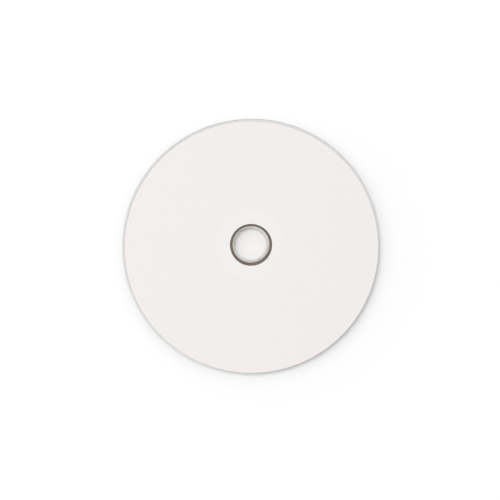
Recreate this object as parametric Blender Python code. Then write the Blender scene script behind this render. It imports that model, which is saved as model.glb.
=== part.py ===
"""Printable compact disc, lying label side up.

A clear moulded substrate carries a reflective recording layer, and a white printable coat seals that layer in.
Units are metres and +Z is up. The origin is the centre of the hole, on the plane that the disc rests on.
Every piece is a section in the XZ plane, turned about Z by a Screw modifier.
"""

import math

import bpy

# Sizes of the disc as a whole
DISC_DIAMETER = 0.120
SUBSTRATE_THICKNESS = 0.0012
EDGE_RADIUS = 0.00018

# Centre hole and the moulded hub round it
HOLE_DIAMETER = 0.015
HOLE_CHAMFER = 0.00012
HUB_LIP_WIDTH = 0.0011
HOLDER_GROOVE_WIDTH = 0.00115
HOLDER_GROOVE_DEPTH = 0.0004
GATE_RELIEF_WIDTH = 0.0021
GATE_RELIEF_DEPTH = 0.00012
GATE_RELIEF_SLOPE = 0.00025

# Stacking ring on the read side, which keeps the recorded area off the table
STACK_RING_DIAMETER = 0.0344
STACK_RING_FOOT_WIDTH = 0.0005
STACK_RING_HEIGHT = 0.00025
STACK_RING_FLANK = 0.0002

# Layers on the label side
COAT_SETBACK = 0.00002
COAT_RIM_MARGIN = 0.0012
COAT_THICKNESS = 0.00006
COAT_EDGE_BEVEL = 0.00003
REFLECTOR_HUB_MARGIN = 0.0065
REFLECTOR_RIM_SEAL = 0.0004
REFLECTOR_THICKNESS = 0.00002
LAYER_CLEARANCE = 0.000005

# Facets of the turned surfaces
TURN_STEPS = 144
EDGE_ARC_STEPS = 3
GROOVE_ARC_STEPS = 8
MERGE_DISTANCE = 0.000001

# Radii and levels that follow from the sizes
DISC_RADIUS = DISC_DIAMETER / 2
HOLE_RADIUS = HOLE_DIAMETER / 2
GROOVE_INNER_RADIUS = HOLE_RADIUS + HUB_LIP_WIDTH
GROOVE_OUTER_RADIUS = GROOVE_INNER_RADIUS + HOLDER_GROOVE_WIDTH
COAT_INNER_RADIUS = GROOVE_OUTER_RADIUS + COAT_SETBACK
COAT_OUTER_RADIUS = DISC_RADIUS - COAT_RIM_MARGIN
REFLECTOR_INNER_RADIUS = COAT_INNER_RADIUS + REFLECTOR_HUB_MARGIN
REFLECTOR_OUTER_RADIUS = COAT_OUTER_RADIUS - REFLECTOR_RIM_SEAL
READ_FACE_Z = STACK_RING_HEIGHT
LABEL_FACE_Z = READ_FACE_Z + SUBSTRATE_THICKNESS
LAYER_BASE_Z = LABEL_FACE_Z + LAYER_CLEARANCE


def clear_scene():
    """Removes every object that the scene starts with."""
    for obj in list(bpy.data.objects):
        bpy.data.objects.remove(obj, do_unlink=True)


def plain_material(name, colour, roughness, metallic=0.0, transmission=0.0):
    """A Principled material with one colour."""
    material = bpy.data.materials.new(name)
    material.use_nodes = True
    shader = material.node_tree.nodes["Principled BSDF"]
    shader.inputs["Base Color"].default_value = (*colour, 1.0)
    shader.inputs["Roughness"].default_value = roughness
    shader.inputs["Metallic"].default_value = metallic
    shader.inputs["Transmission Weight"].default_value = transmission
    return material


def arc(centre, radius, start_degrees, end_degrees, steps):
    """Points of a circular arc in the section plane, ends included, as (radius from the axis, height)."""
    points = []
    for step in range(steps + 1):
        angle = math.radians(start_degrees + (end_degrees - start_degrees) * step / steps)
        points.append((centre[0] + radius * math.cos(angle), centre[1] + radius * math.sin(angle)))
    return points


def gate_relief():
    """The shallow relief round the hole on the read side, where the punched edge can't reach the clamping face."""
    relief_z = READ_FACE_Z + GATE_RELIEF_DEPTH
    outer = HOLE_RADIUS + GATE_RELIEF_WIDTH
    return [
        (HOLE_RADIUS, relief_z + HOLE_CHAMFER),
        (HOLE_RADIUS + HOLE_CHAMFER, relief_z),
        (outer - GATE_RELIEF_SLOPE, relief_z),
        (outer, READ_FACE_Z),
    ]


def stacking_ring():
    """The low ring with sloping flanks and a flat foot that the disc stands on."""
    middle = STACK_RING_DIAMETER / 2
    half_foot = STACK_RING_FOOT_WIDTH / 2
    half_root = half_foot + STACK_RING_FLANK
    return [
        (middle - half_root, READ_FACE_Z),
        (middle - half_foot, READ_FACE_Z - STACK_RING_HEIGHT),
        (middle + half_foot, READ_FACE_Z - STACK_RING_HEIGHT),
        (middle + half_root, READ_FACE_Z),
    ]


def outer_edge():
    """The rounded outer edge, from the read face up to the label face."""
    inset = DISC_RADIUS - EDGE_RADIUS
    lower = arc((inset, READ_FACE_Z + EDGE_RADIUS), EDGE_RADIUS, -90, 0, EDGE_ARC_STEPS)
    upper = arc((inset, LABEL_FACE_Z - EDGE_RADIUS), EDGE_RADIUS, 0, 90, EDGE_ARC_STEPS)
    return lower + upper


def holder_groove():
    """The round groove that the stamper's holder leaves in the label face, from its outer edge to its inner one."""
    half_width = HOLDER_GROOVE_WIDTH / 2
    radius = (half_width**2 + HOLDER_GROOVE_DEPTH**2) / (2 * HOLDER_GROOVE_DEPTH)
    centre = (GROOVE_INNER_RADIUS + half_width, LABEL_FACE_Z - HOLDER_GROOVE_DEPTH + radius)
    half_angle = math.degrees(math.atan2(half_width, radius - HOLDER_GROOVE_DEPTH))
    return arc(centre, radius, -90 + half_angle, -90 - half_angle, GROOVE_ARC_STEPS)


def hole_top():
    """The chamfer at the top of the hole."""
    return [
        (HOLE_RADIUS + HOLE_CHAMFER, LABEL_FACE_Z),
        (HOLE_RADIUS, LABEL_FACE_Z - HOLE_CHAMFER),
    ]


def substrate_section():
    """The moulded disc's section, out along the read face and back along the label face."""
    return gate_relief() + stacking_ring() + outer_edge() + holder_groove() + hole_top()


def reflector_section():
    """The thin band of dye and silver over the recorded area."""
    top = LAYER_BASE_Z + REFLECTOR_THICKNESS
    return [
        (REFLECTOR_INNER_RADIUS, LAYER_BASE_Z),
        (REFLECTOR_OUTER_RADIUS, LAYER_BASE_Z),
        (REFLECTOR_OUTER_RADIUS, top),
        (REFLECTOR_INNER_RADIUS, top),
    ]


def coat_section():
    """The printable coat, recessed below so that it covers the reflector and seals both of its edges."""
    recess_z = LAYER_BASE_Z + REFLECTOR_THICKNESS + LAYER_CLEARANCE
    recess_inner = REFLECTOR_INNER_RADIUS - LAYER_CLEARANCE
    recess_outer = REFLECTOR_OUTER_RADIUS + LAYER_CLEARANCE
    top = recess_z + COAT_THICKNESS
    return [
        (COAT_INNER_RADIUS, LAYER_BASE_Z),
        (recess_inner, LAYER_BASE_Z),
        (recess_inner, recess_z),
        (recess_outer, recess_z),
        (recess_outer, LAYER_BASE_Z),
        (COAT_OUTER_RADIUS, LAYER_BASE_Z),
        (COAT_OUTER_RADIUS, top - COAT_EDGE_BEVEL),
        (COAT_OUTER_RADIUS - COAT_EDGE_BEVEL, top),
        (COAT_INNER_RADIUS + COAT_EDGE_BEVEL, top),
        (COAT_INNER_RADIUS, top - COAT_EDGE_BEVEL),
    ]


def turned(name, section, material):
    """Turns a closed section about Z into one solid. The section runs outwards below and back inwards above."""
    vertices = [(radius, 0.0, height) for radius, height in section]
    edges = [(index, (index + 1) % len(section)) for index in range(len(section))]
    mesh = bpy.data.meshes.new(name)
    mesh.from_pydata(vertices, edges, [])
    mesh.materials.append(material)
    obj = bpy.data.objects.new(name, mesh)
    bpy.context.scene.collection.objects.link(obj)
    screw = obj.modifiers.new("turn", "SCREW")
    screw.axis = "Z"
    screw.angle = math.tau
    screw.steps = TURN_STEPS
    screw.render_steps = TURN_STEPS
    screw.use_merge_vertices = True
    screw.merge_threshold = MERGE_DISTANCE
    screw.use_smooth_shade = True
    screw.use_normal_flip = True
    return obj


def build():
    """Makes the three pieces of the disc."""
    clear_scene()
    clear_plastic = plain_material("clear_polycarbonate", (0.93, 0.94, 0.94), 0.03, transmission=1.0)
    silver = plain_material("dye_on_silver", (0.66, 0.76, 0.80), 0.12, metallic=1.0)
    white_coat = plain_material("white_printable_coat", (0.87, 0.84, 0.82), 0.75)
    turned("substrate", substrate_section(), clear_plastic)
    turned("reflective_layer", reflector_section(), silver)
    turned("printable_coat", coat_section(), white_coat)


build()
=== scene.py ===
"""Looks of the printable compact disc: fine turned pieces, their materials, the studio and the camera.

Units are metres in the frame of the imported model: the disc lies flat, label side up, with its hole round Z.
"""

import math
from collections import namedtuple

import bpy
import numpy as np
from mathutils import Matrix, Vector


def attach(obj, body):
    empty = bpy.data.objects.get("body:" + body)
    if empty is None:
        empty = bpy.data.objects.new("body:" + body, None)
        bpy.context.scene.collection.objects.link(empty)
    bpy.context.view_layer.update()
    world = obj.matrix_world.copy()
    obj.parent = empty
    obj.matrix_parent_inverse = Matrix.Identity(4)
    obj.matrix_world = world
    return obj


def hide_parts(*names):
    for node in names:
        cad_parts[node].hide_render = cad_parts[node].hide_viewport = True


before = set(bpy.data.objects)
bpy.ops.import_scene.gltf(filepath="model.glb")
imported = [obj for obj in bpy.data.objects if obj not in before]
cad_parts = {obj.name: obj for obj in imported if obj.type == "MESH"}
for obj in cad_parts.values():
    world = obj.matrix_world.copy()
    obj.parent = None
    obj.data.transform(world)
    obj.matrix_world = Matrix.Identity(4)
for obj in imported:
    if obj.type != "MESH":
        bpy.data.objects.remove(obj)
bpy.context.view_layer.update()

# Moulded details of the clear disc
HOLE_CHAMFER = 0.00012
GROOVE_INNER_RADIUS = 0.0086
GROOVE_OUTER_RADIUS = 0.00975
GROOVE_DEPTH = 0.0004
RELIEF_OUTER_RADIUS = 0.0096
RELIEF_DEPTH = 0.00012
RELIEF_SLOPE = 0.00025
STACK_RING_RADIUS = 0.0172
STACK_RING_FOOT_WIDTH = 0.0005
STACK_RING_HEIGHT = 0.00025
STACK_RING_FLANK = 0.0002
EDGE_RADIUS = 0.00018

# Details of the layers on the label side
LAYER_CLEARANCE = 0.000005
COAT_EDGE_RADIUS = 0.00003

# Small roundings: the mould's corners, and the lips of the groove
MOULD_FILLET = 0.00002
LIP_FILLET = 0.00003

# How far the groove's lips, and the coat's edge on the outer one, are off centre
INNER_LIP_SHIFT = (0.0, 0.00020)
OUTER_LIP_SHIFT = (0.00002, -0.00007)

# Facets of the turned pieces, and how far their large faces lead the smooth shading, where 50 is neutral
TURN_STEPS = 384
FILLET_STEPS = 3
EDGE_STEPS = 8
GROOVE_STEPS = 18
LARGE_FACE_WEIGHT = 100

# Finishes of the clear disc, by place
# The groove's finish is painted shade, a dark band where shade shows through the clear plastic
PLASTIC, GROOVE_SHADE, HUB, RIM, WALL = range(5)

# A corner of a section: the finish goes as far as the next corner, and the shift moves its circle off centre
Corner = namedtuple("Corner", "radius height fillet finish shift", defaults=(0.0, PLASTIC, (0.0, 0.0)))

# The reach of a turned node: its radii and its levels
Ring = namedtuple("Ring", "inner outer bottom top")

# Noise that makes fine concentric marks has this much detail
RING_NOISE_DETAIL = 3.0

# The clear plastic, with the faint rings that its mould leaves. Each light share is how much of a lamp's
# light a surface lets straight through. Colours, here and below, are linear light.
PLASTIC_IOR = 1.585
PLASTIC_ROUGHNESS = 0.02
RIM_ROUGHNESS = 0.06
WALL_ROUGHNESS = 0.35
MOULD_RING_SPACING = 0.0004
MOULD_RING_DEPTH = 0.000002
CLEAR_LIGHT_SHARE = 1.0
WALL_LIGHT_SHARE = 0.35
PLASTIC_TINT = (0.97, 0.975, 0.975)
HUB_TINT = (1.0, 0.97, 0.935)
# The wall's dark tint is painted shade: it darkens the hole's wall as the shade seen through it does
WALL_SHADE_TINT = (0.50, 0.445, 0.375)
RIM_TINT = (1.0, 0.995, 0.99)

# Painted shade in the groove: a dark band that stands in for the shade seen there through the clear plastic.
# Its streaks and patches are noise, stretched between the two values.
GROOVE_SHADE_DARK = (0.135, 0.108, 0.086)
GROOVE_SHADE_PALE = (0.185, 0.155, 0.130)
GROOVE_SHADE_ROUGHNESS = 0.3
GROOVE_SHADE_NOISE = (0.35, 0.65)
STREAK_SPACING = 0.00012
STREAK_DEPTH = 0.000003
PATCH_SIZE = 0.004

# The white coat. Its mottle and specks are noise, stretched between the two values, and change the tone from
# one share to the other. The blurs are how softly the silver's edge shows through.
COAT_COLOUR = (0.887, 0.855, 0.838)
COAT_HUB_COLOUR = (0.893, 0.873, 0.860)
COAT_ROUGHNESS = 0.85
COAT_SPECULAR = 0.2
COAT_NOISE = (0.3, 0.7)
MOTTLE_SIZE = 0.0011
MOTTLE_TONES = (0.994, 1.004)
SPECK_SIZE = 0.00018
SPECK_TONES = (0.985, 1.015)
GRAIN_SIZE = 0.00009
GRAIN_DEPTH = 0.000008
SILVER_BLUR_INWARDS = 0.0003
SILVER_BLUR_OUTWARDS = 0.0002

# The recording layer. Its circular tracks stretch reflections across themselves, hence the quarter turn.
SILVER_COLOUR = (0.80, 0.81, 0.82)
DYE_COLOUR = (0.60, 0.74, 0.79)
DYE_START_RADIUS = 0.0198
TRACK_START_RADIUS = 0.0224
ZONE_BLUR = 0.0001
SMOOTH_ROUGHNESS = 0.05
TRACKED_ROUGHNESS = 0.16
TRACK_ANISOTROPY = 0.7
QUARTER_TURN = 0.25

# Camera, as fitted to the rim in the photograph
FOCAL_LENGTH_PX = 814.0
PHOTO_SIZE_PX = 500.0
SENSOR_WIDTH_MM = 36.0
NEAREST_SEEN = 0.01
EYE = Vector((0.0069, -0.0503, 0.3751))
AIM = Vector((-0.00048, -0.0025, 0.00154))
PHOTO_UP = Vector((0, 1, 0))

# The floor, with another tone under the hub that changes to the rest's between the two radii
FLOOR_SIZE = 6.0
FLOOR_COLOUR = (0.93, 0.93, 0.93)
FLOOR_HUB_COLOUR = (0.962, 0.942, 0.928)
FLOOR_HUB_EDGE = (0.02, 0.05)

# How the floor's glow changes outwards, as (from this radius, to this radius, by this much). It glows in a
# ring under the clear hub, which shows no lamps, and from the clear rim on. The ring under the hub and the
# rise under the clear rim are painted light, standing in for the lamps' light that the clear plastic would
# gather. Farther out, the glow makes the floor white.
FLOOR_GLOW = (
    (0.0072, 0.0076, 0.06),
    (0.0086, 0.0090, -0.06),
    (0.0586, 0.0598, 0.05),
    (0.0602, 0.064, 0.025),
    (0.064, 0.16, 0.10),
    (0.17, 0.60, 0.80),
)

# The world's strength: as light, and as mirrors see it straight down. They see it rise to 1 over this span
# of the direction's Z.
WORLD_LIGHT = 0.05
WORLD_FOOT = 0.35
WORLD_FOOT_SPAN = (-1.0, -0.1)

# The soft boxes, as (azimuth from +X and elevation in degrees, width, height, radiance)
LAMP_DISTANCE = 1.5
SOFT_BOXES = {
    "overhead": (0, 90, 0.9, 0.9, 2.0),
    "back_left": (135, 60, 0.9, 0.9, 2.5),
    "front_right": (315, 60, 0.9, 0.9, 3.0),
    "left": (180, 35, 0.9, 0.7, 2.0),
    "left_low": (180, 11, 1.2, 0.5, 5.5),
    "back_low": (90, 11, 1.2, 0.5, 3.5),
    "right_low": (0, 11, 1.2, 0.5, 2.5),
    "under": (225, -60, 1.5, 1.5, 4.5),
}

# A limit between none and one, for the counts that a light path carries
NONE_OR_ONE = 0.5


def ring_of(node):
    """The reach of a turned node, read from its mesh."""
    places = np.array([vertex.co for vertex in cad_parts[node].data.vertices])
    radii = np.hypot(places[:, 0], places[:, 1])
    heights = places[:, 2]
    return Ring(float(radii.min()), float(radii.max()), float(heights.min()), float(heights.max()))


def fillet(last_one, corner, next_one):
    """The corners along the arc that rounds this corner off, between the last corner and the next."""
    here = Vector((corner.radius, corner.height))
    before = (Vector((last_one.radius, last_one.height)) - here).normalized()
    after = (Vector((next_one.radius, next_one.height)) - here).normalized()
    half_angle = before.angle(after) / 2
    reach = corner.fillet / math.tan(half_angle)
    centre = here + (before + after).normalized() * corner.fillet / math.sin(half_angle)
    first = (here + before * reach - centre).normalized()
    last = (here + after * reach - centre).normalized()
    corners = []
    for step in range(FILLET_STEPS + 1):
        radius, height = centre + corner.fillet * first.slerp(last, step / FILLET_STEPS)
        corners.append(corner._replace(radius=radius, height=height))
    return corners


def rounded(corners):
    """The closed outline of these corners, with those that have a fillet rounded to it."""
    outline = []
    for index, corner in enumerate(corners):
        if corner.fillet:
            outline += fillet(corners[index - 1], corner, corners[(index + 1) % len(corners)])
        else:
            outline.append(corner)
    return outline


def turned_places(outline):
    """The places of the outline's corners at each step of the turn."""
    angles = np.linspace(0, math.tau, TURN_STEPS, endpoint=False)
    radii = np.array([corner.radius for corner in outline])
    shift_x, shift_y = np.array([corner.shift for corner in outline]).T
    return np.stack([
        np.outer(np.cos(angles), radii) + shift_x,
        np.outer(np.sin(angles), radii) + shift_y,
        np.broadcast_to([corner.height for corner in outline], (TURN_STEPS, len(outline))),
    ], axis=-1).reshape(-1, 3)


def turned_faces(count):
    """The faces between each step of the turn and the next, for an outline of this many corners."""
    faces = []
    for turn in range(TURN_STEPS):
        here = turn * count
        there = (turn + 1) % TURN_STEPS * count
        for index in range(count):
            after = (index + 1) % count
            faces.append((here + index, there + index, there + after, here + after))
    return faces


def turned(name, corners, materials):
    """Turns a closed section about Z. The section runs outwards below and back inwards above."""
    outline = rounded(corners)
    mesh = bpy.data.meshes.new(name)
    mesh.from_pydata(turned_places(outline).tolist(), [], turned_faces(len(outline)))
    for material in materials:
        mesh.materials.append(material)
    mesh.polygons.foreach_set("material_index", [corner.finish for corner in outline] * TURN_STEPS)
    mesh.shade_smooth()
    piece = bpy.data.objects.new(name, mesh)
    bpy.context.scene.collection.objects.link(piece)
    weighted = piece.modifiers.new("face_weighted_normals", "WEIGHTED_NORMAL")
    weighted.weight = LARGE_FACE_WEIGHT
    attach(piece, "root")
    return piece


def math_node(tree, operation, first, second):
    """The output of a Math node. Each input is a number or a socket."""
    node = tree.nodes.new("ShaderNodeMath")
    node.operation = operation
    for socket, value in zip(node.inputs, (first, second)):
        if isinstance(value, (int, float)):
            socket.default_value = value
        else:
            tree.links.new(value, socket)
    return node.outputs[0]


def blend(tree, value, low, high, at_low, at_high, smooth=True):
    """A value that goes from at_low, where the input is low, to at_high, where it is high."""
    node = tree.nodes.new("ShaderNodeMapRange")
    node.interpolation_type = "SMOOTHSTEP" if smooth else "LINEAR"
    tree.links.new(value, node.inputs["Value"])
    node.inputs["From Min"].default_value = low
    node.inputs["From Max"].default_value = high
    node.inputs["To Min"].default_value = at_low
    node.inputs["To Max"].default_value = at_high
    return node.outputs["Result"]


def mixed(tree, factor, first, second, blend_type="MIX"):
    """A colour between first and second by factor. Each is a colour or a socket."""
    node = tree.nodes.new("ShaderNodeMix")
    node.data_type = "RGBA"
    node.blend_type = blend_type
    if isinstance(factor, (int, float)):
        node.inputs["Factor"].default_value = factor
    else:
        tree.links.new(factor, node.inputs["Factor"])
    for name, value in (("A", first), ("B", second)):
        socket = [item for item in node.inputs if item.name == name and item.type == "RGBA"][0]
        if isinstance(value, tuple):
            socket.default_value = (*value, 1)
        else:
            tree.links.new(value, socket)
    return [item for item in node.outputs if item.type == "RGBA"][0]


def places_of(tree):
    """The surface point's place in the disc's own frame."""
    return tree.nodes.new("ShaderNodeTexCoord").outputs["Object"]


def radius_of(tree):
    """The surface point's distance from the disc's axis."""
    flat = tree.nodes.new("ShaderNodeVectorMath")
    flat.operation = "MULTIPLY"
    flat.inputs[1].default_value = (1, 1, 0)
    tree.links.new(places_of(tree), flat.inputs[0])
    length = tree.nodes.new("ShaderNodeVectorMath")
    length.operation = "LENGTH"
    tree.links.new(flat.outputs[0], length.inputs[0])
    return length.outputs["Value"]


def noise(tree, size, detail):
    """Noise over the disc, with features of about this size, from 0 to 1."""
    node = tree.nodes.new("ShaderNodeTexNoise")
    node.inputs["Scale"].default_value = 1 / size
    node.inputs["Detail"].default_value = detail
    tree.links.new(places_of(tree), node.inputs["Vector"])
    return node.outputs["Fac"]


def ring_noise(tree, spacing):
    """Noise that only changes with the radius, as fine concentric marks do, from 0 to 1."""
    node = tree.nodes.new("ShaderNodeTexNoise")
    node.noise_dimensions = "1D"
    node.inputs["Scale"].default_value = 1 / spacing
    node.inputs["Detail"].default_value = RING_NOISE_DETAIL
    tree.links.new(radius_of(tree), node.inputs["W"])
    return node.outputs["Fac"]


def bump(tree, shader, height, depth):
    """Raises the surface by height, a value from 0 to 1, times depth in metres."""
    node = tree.nodes.new("ShaderNodeBump")
    node.inputs["Distance"].default_value = depth
    tree.links.new(height, node.inputs["Height"])
    tree.links.new(node.outputs["Normal"], shader.inputs["Normal"])


def see_through(tree, shader, where, light_share=1.0):
    """Shows the shader where the value is 0, and lets this share of light through where it is 1."""
    clear = tree.nodes.new("ShaderNodeBsdfTransparent")
    clear.inputs["Color"].default_value = (light_share, light_share, light_share, 1)
    choice = tree.nodes.new("ShaderNodeMixShader")
    tree.links.new(where, choice.inputs[0])
    tree.links.new(shader.outputs[0], choice.inputs[1])
    tree.links.new(clear.outputs[0], choice.inputs[2])
    tree.links.new(choice.outputs[0], tree.nodes["Material Output"].inputs["Surface"])


def new_material(name):
    """A material with its node tree and its Principled shader."""
    material = bpy.data.materials.new(name)
    material.use_nodes = True
    return material, material.node_tree, material.node_tree.nodes["Principled BSDF"]


def clear_plastic(name, tint, roughness, light_share=CLEAR_LIGHT_SHARE):
    """Clear plastic. A lamp's light goes straight through it, so that its shadow is pale."""
    material, tree, shader = new_material(name)
    shader.inputs["Base Color"].default_value = (*tint, 1)
    shader.inputs["Roughness"].default_value = roughness
    shader.inputs["IOR"].default_value = PLASTIC_IOR
    shader.inputs["Transmission Weight"].default_value = 1.0
    bump(tree, shader, ring_noise(tree, MOULD_RING_SPACING), MOULD_RING_DEPTH)
    path = tree.nodes.new("ShaderNodeLightPath")
    see_through(tree, shader, path.outputs["Is Shadow Ray"], light_share)
    return material


def painted_groove_shade():
    """Painted shade in the groove: a dark band with faint streaks along it, and patches."""
    material, tree, shader = new_material("painted_groove_shade")
    streaks = blend(tree, ring_noise(tree, STREAK_SPACING), *GROOVE_SHADE_NOISE, 0.0, 1.0)
    patches = blend(tree, noise(tree, PATCH_SIZE, detail=2.0), *GROOVE_SHADE_NOISE, 0.0, 1.0)
    mean = math_node(tree, "MULTIPLY", math_node(tree, "ADD", streaks, patches), 0.5)
    tree.links.new(mixed(tree, mean, GROOVE_SHADE_DARK, GROOVE_SHADE_PALE), shader.inputs["Base Color"])
    shader.inputs["Roughness"].default_value = GROOVE_SHADE_ROUGHNESS
    bump(tree, shader, ring_noise(tree, STREAK_SPACING), STREAK_DEPTH)
    return material


def coat_tone(tree):
    """The coat's faint mottle and specks, as a grey that multiplies its colour."""
    mottle = blend(tree, noise(tree, MOTTLE_SIZE, detail=4.0), *COAT_NOISE, *MOTTLE_TONES)
    speck = blend(tree, noise(tree, SPECK_SIZE, detail=1.0), *COAT_NOISE, *SPECK_TONES)
    both = math_node(tree, "MULTIPLY", mottle, speck)
    tone = tree.nodes.new("ShaderNodeCombineColor")
    for socket in tone.inputs:
        tree.links.new(both, socket)
    return tone.outputs[0]


def white_coat():
    """The matt printable coat: a fine grain, a faint mottle, and a paler zone inside the silver's edge."""
    material, tree, shader = new_material("white_printable_coat")
    silver_edge = ring_of("reflective_layer").inner
    blur_start = silver_edge - SILVER_BLUR_INWARDS
    blur_end = silver_edge + SILVER_BLUR_OUTWARDS
    over_silver = blend(tree, radius_of(tree), blur_start, blur_end, 0.0, 1.0)
    colour = mixed(tree, over_silver, COAT_HUB_COLOUR, COAT_COLOUR)
    colour = mixed(tree, 1.0, colour, coat_tone(tree), "MULTIPLY")
    tree.links.new(colour, shader.inputs["Base Color"])
    shader.inputs["Roughness"].default_value = COAT_ROUGHNESS
    shader.inputs["Specular IOR Level"].default_value = COAT_SPECULAR
    bump(tree, shader, noise(tree, GRAIN_SIZE, detail=3.0), GRAIN_DEPTH)
    return material


def zones(tree, edge, inside, outside):
    """A value that changes from inside to outside at this radius."""
    return blend(tree, radius_of(tree), edge - ZONE_BLUR, edge + ZONE_BLUR, inside, outside)


def recording_layer():
    """Silver, with the dye's tint over it outside the dye's inner edge, and a finely grooved zone."""
    material, tree, shader = new_material("dye_on_silver")
    dyed = zones(tree, DYE_START_RADIUS, 0.0, 1.0)
    roughness = zones(tree, TRACK_START_RADIUS, SMOOTH_ROUGHNESS, TRACKED_ROUGHNESS)
    tree.links.new(mixed(tree, dyed, SILVER_COLOUR, DYE_COLOUR), shader.inputs["Base Color"])
    tree.links.new(roughness, shader.inputs["Roughness"])
    shader.inputs["Metallic"].default_value = 1.0
    shader.inputs["Anisotropic"].default_value = TRACK_ANISOTROPY
    shader.inputs["Anisotropic Rotation"].default_value = QUARTER_TURN
    tangent = tree.nodes.new("ShaderNodeTangent")
    tangent.direction_type = "RADIAL"
    tangent.axis = "Z"
    tree.links.new(tangent.outputs[0], shader.inputs["Tangent"])
    return material


def arc_corners(centre, radius, start_degrees, end_degrees, steps, finish):
    """Corners along a circular arc in the section plane, ends included."""
    corners = []
    for step in range(steps + 1):
        angle = math.radians(start_degrees + (end_degrees - start_degrees) * step / steps)
        place = (centre[0] + radius * math.cos(angle), centre[1] + radius * math.sin(angle))
        corners.append(Corner(*place, finish=finish))
    return corners


def read_side():
    """The read side of the clear disc, from the hole out to the rim's clear margin."""
    disc = ring_of("substrate")
    read = disc.bottom + STACK_RING_HEIGHT
    relief = read + RELIEF_DEPTH
    half_foot = STACK_RING_FOOT_WIDTH / 2
    half_root = half_foot + STACK_RING_FLANK
    return [
        Corner(disc.inner, relief + HOLE_CHAMFER, MOULD_FILLET, WALL),
        Corner(disc.inner + HOLE_CHAMFER, relief, MOULD_FILLET, HUB),
        Corner(RELIEF_OUTER_RADIUS - RELIEF_SLOPE, relief, MOULD_FILLET, HUB),
        Corner(RELIEF_OUTER_RADIUS, read, MOULD_FILLET, PLASTIC),
        Corner(STACK_RING_RADIUS - half_root, read, MOULD_FILLET, PLASTIC),
        Corner(STACK_RING_RADIUS - half_foot, disc.bottom, MOULD_FILLET, PLASTIC),
        Corner(STACK_RING_RADIUS + half_foot, disc.bottom, MOULD_FILLET, PLASTIC),
        Corner(STACK_RING_RADIUS + half_root, read, MOULD_FILLET, PLASTIC),
        Corner(ring_of("printable_coat").outer, read, finish=RIM),
    ]


def outer_edge():
    """The rounded outer edge of the clear disc, with the top of the rim's clear margin."""
    disc = ring_of("substrate")
    read = disc.bottom + STACK_RING_HEIGHT
    inset = disc.outer - EDGE_RADIUS
    edge = arc_corners((inset, read + EDGE_RADIUS), EDGE_RADIUS, -90, 0, EDGE_STEPS, RIM)
    edge += arc_corners((inset, disc.top - EDGE_RADIUS), EDGE_RADIUS, 0, 90, EDGE_STEPS, RIM)
    return edge + [Corner(ring_of("printable_coat").outer, disc.top, finish=PLASTIC)]


def holder_groove():
    """The groove in the label side, painted dark as shade. Its two lips are a little off centre, each its own
    way.
    """
    label = ring_of("substrate").top
    half_width = (GROOVE_OUTER_RADIUS - GROOVE_INNER_RADIUS) / 2
    radius = (half_width**2 + GROOVE_DEPTH**2) / (2 * GROOVE_DEPTH)
    centre = (GROOVE_INNER_RADIUS + half_width, label - GROOVE_DEPTH + radius)
    half_angle = math.degrees(math.atan2(half_width, radius - GROOVE_DEPTH))
    groove = arc_corners(centre, radius, -90 + half_angle, -90 - half_angle, GROOVE_STEPS, GROOVE_SHADE)
    for index, corner in enumerate(groove):
        share = index / GROOVE_STEPS
        shift = tuple(Vector(OUTER_LIP_SHIFT).lerp(Vector(INNER_LIP_SHIFT), share))
        groove[index] = corner._replace(shift=shift)
    groove[0] = groove[0]._replace(fillet=LIP_FILLET)
    groove[-1] = groove[-1]._replace(fillet=LIP_FILLET, finish=HUB)
    return groove


def hole_top():
    """The chamfer at the top of the hole."""
    disc = ring_of("substrate")
    return [
        Corner(disc.inner + HOLE_CHAMFER, disc.top, MOULD_FILLET, WALL),
        Corner(disc.inner, disc.top - HOLE_CHAMFER, MOULD_FILLET, WALL),
    ]


def reflector_section():
    """The thin band of dye and silver."""
    silver = ring_of("reflective_layer")
    return [
        Corner(silver.inner, silver.bottom),
        Corner(silver.outer, silver.bottom),
        Corner(silver.outer, silver.top),
        Corner(silver.inner, silver.top),
    ]


def coat_section():
    """The coat, recessed below over the silver. Its inner edge follows the groove's outer lip."""
    coat = ring_of("printable_coat")
    silver = ring_of("reflective_layer")
    recess = silver.top + LAYER_CLEARANCE
    recess_inner = silver.inner - LAYER_CLEARANCE
    recess_outer = silver.outer + LAYER_CLEARANCE
    return [
        Corner(coat.inner, coat.bottom, shift=OUTER_LIP_SHIFT),
        Corner(recess_inner, coat.bottom),
        Corner(recess_inner, recess),
        Corner(recess_outer, recess),
        Corner(recess_outer, coat.bottom),
        Corner(coat.outer, coat.bottom),
        Corner(coat.outer, coat.top, COAT_EDGE_RADIUS),
        Corner(coat.inner, coat.top, COAT_EDGE_RADIUS, shift=OUTER_LIP_SHIFT),
    ]


def dress_disc():
    """Makes the pieces that stand for the disc's three nodes."""
    finishes = {
        PLASTIC: clear_plastic("clear_polycarbonate", PLASTIC_TINT, PLASTIC_ROUGHNESS),
        # The groove takes the painted shade
        GROOVE_SHADE: painted_groove_shade(),
        HUB: clear_plastic("clear_polycarbonate_hub", HUB_TINT, PLASTIC_ROUGHNESS),
        RIM: clear_plastic("clear_polycarbonate_rim", RIM_TINT, RIM_ROUGHNESS),
        # The hole's wall is tinted dark as painted shade
        WALL: clear_plastic("clear_polycarbonate_wall_painted_shade", WALL_SHADE_TINT, WALL_ROUGHNESS, WALL_LIGHT_SHARE),
    }
    section = read_side() + outer_edge() + holder_groove() + hole_top()
    clear_disc = turned("clear_disc", section, [finishes[place] for place in sorted(finishes)])
    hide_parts("substrate")
    silver = turned("recording_layer", reflector_section(), [recording_layer()])
    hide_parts("reflective_layer")
    coat = turned("white_coat", coat_section(), [white_coat()])
    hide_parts("printable_coat")


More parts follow.
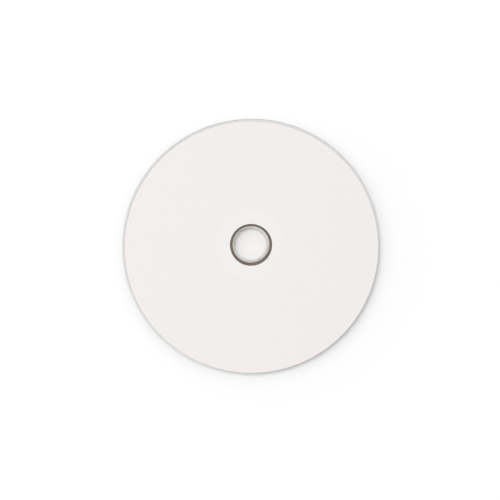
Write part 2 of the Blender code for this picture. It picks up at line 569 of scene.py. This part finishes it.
def seen_directly(tree):
    """1 for what the camera sees, also in a mirror or through glass, and 0 for light on a matt surface."""
    path = tree.nodes.new("ShaderNodeLightPath")
    seen = math_node(tree, "MAXIMUM", path.outputs["Is Camera Ray"], path.outputs["Is Glossy Ray"])
    seen = math_node(tree, "MAXIMUM", seen, path.outputs["Is Transmission Ray"])
    first = math_node(tree, "LESS_THAN", path.outputs["Diffuse Depth"], NONE_OR_ONE)
    return math_node(tree, "MULTIPLY", seen, first)


def seen_from_below(tree):
    """1 for the floor's underside, and for what is seen through it, and otherwise 0."""
    side = tree.nodes.new("ShaderNodeNewGeometry")
    path = tree.nodes.new("ShaderNodeLightPath")
    through = math_node(tree, "GREATER_THAN", path.outputs["Transparent Depth"], NONE_OR_ONE)
    return math_node(tree, "MAXIMUM", side.outputs["Backfacing"], through)


def glow_strength(tree, radius):
    """How strongly the floor glows, for the camera, mirrors and clear plastic alone."""
    strength = 0.0
    for start, end, growth in FLOOR_GLOW:
        strength = math_node(tree, "ADD", blend(tree, radius, start, end, 0.0, growth), strength)
    return math_node(tree, "MULTIPLY", seen_directly(tree), strength)


def white_floor():
    """A pale floor that keeps the disc's shadow, with painted light under the clear hub and rim, and white
    outside. From below it can't be seen.
    """
    bpy.ops.mesh.primitive_plane_add(size=FLOOR_SIZE, location=(0, 0, 0))
    floor = bpy.context.object
    floor.name = "floor"
    material, tree, shader = new_material("white_floor")
    tree.nodes.remove(shader)
    radius = radius_of(tree)
    diffuse = tree.nodes.new("ShaderNodeBsdfDiffuse")
    past_hub = blend(tree, radius, *FLOOR_HUB_EDGE, 0.0, 1.0)
    tree.links.new(mixed(tree, past_hub, FLOOR_HUB_COLOUR, FLOOR_COLOUR), diffuse.inputs["Color"])
    glow = tree.nodes.new("ShaderNodeEmission")
    tree.links.new(glow_strength(tree, radius), glow.inputs["Strength"])
    both = tree.nodes.new("ShaderNodeAddShader")
    tree.links.new(diffuse.outputs[0], both.inputs[0])
    tree.links.new(glow.outputs[0], both.inputs[1])
    see_through(tree, both, seen_from_below(tree))
    material.cycles.emission_sampling = "NONE"
    floor.data.materials.append(material)


def world_light():
    """A dim even light, which the camera and mirrors see as white, and as grey towards straight below."""
    world = bpy.data.worlds.new("studio")
    bpy.context.scene.world = world
    world.use_nodes = True
    world.cycles.sampling_method = "NONE"
    tree = world.node_tree
    background = tree.nodes["Background"]
    background.inputs["Color"].default_value = (1, 1, 1, 1)
    strength = blend(tree, seen_directly(tree), 0.0, 1.0, WORLD_LIGHT, 1.0, smooth=False)
    direction = tree.nodes.new("ShaderNodeSeparateXYZ")
    tree.links.new(tree.nodes.new("ShaderNodeTexCoord").outputs["Generated"], direction.inputs[0])
    foot = blend(tree, direction.outputs["Z"], *WORLD_FOOT_SPAN, WORLD_FOOT, 1.0, smooth=False)
    tree.links.new(math_node(tree, "MULTIPLY", strength, foot), background.inputs["Strength"])


def soft_box(name, azimuth, elevation, width, height, radiance):
    """A rectangular lamp that faces the disc. It isn't seen in mirrors, nor through clear plastic."""
    lamp = bpy.data.lights.new(name, "AREA")
    lamp.shape = "RECTANGLE"
    lamp.size = width
    lamp.size_y = height
    lamp.energy = radiance * math.pi * width * height
    light = bpy.data.objects.new(name, lamp)
    turn = Matrix.Rotation(math.radians(azimuth), 3, "Z") @ Matrix.Rotation(math.radians(-elevation), 3, "Y")
    light.location = turn @ Vector((LAMP_DISTANCE, 0, 0))
    light.rotation_euler = (-light.location).to_track_quat("-Z", "Y").to_euler()
    light.visible_camera = False
    light.visible_glossy = False
    light.visible_transmission = False
    bpy.context.scene.collection.objects.link(light)


def studio_light():
    """Soft boxes round the disc. The one under the floor is there for views from below."""
    for name, values in SOFT_BOXES.items():
        soft_box(name, *values)


def camera():
    """The photograph's view."""
    data = bpy.data.cameras.new("camera")
    data.sensor_width = SENSOR_WIDTH_MM
    data.lens = FOCAL_LENGTH_PX / PHOTO_SIZE_PX * SENSOR_WIDTH_MM
    data.clip_start = NEAREST_SEEN
    viewer = bpy.data.objects.new("camera", data)
    back = (EYE - AIM).normalized()
    right = PHOTO_UP.cross(back).normalized()
    up = back.cross(right)
    viewer.matrix_world = Matrix.Translation(EYE) @ Matrix((right, up, back)).transposed().to_4x4()
    bpy.context.scene.collection.objects.link(viewer)
    bpy.context.scene.camera = viewer


def render_settings():
    """Plain colours, and no light bent by the plastic, as the lamps already shine straight through it."""
    bpy.context.scene.view_settings.view_transform = "Standard"
    bpy.context.scene.cycles.caustics_refractive = False


dress_disc()
white_floor()
world_light()
studio_light()
camera()
render_settings()
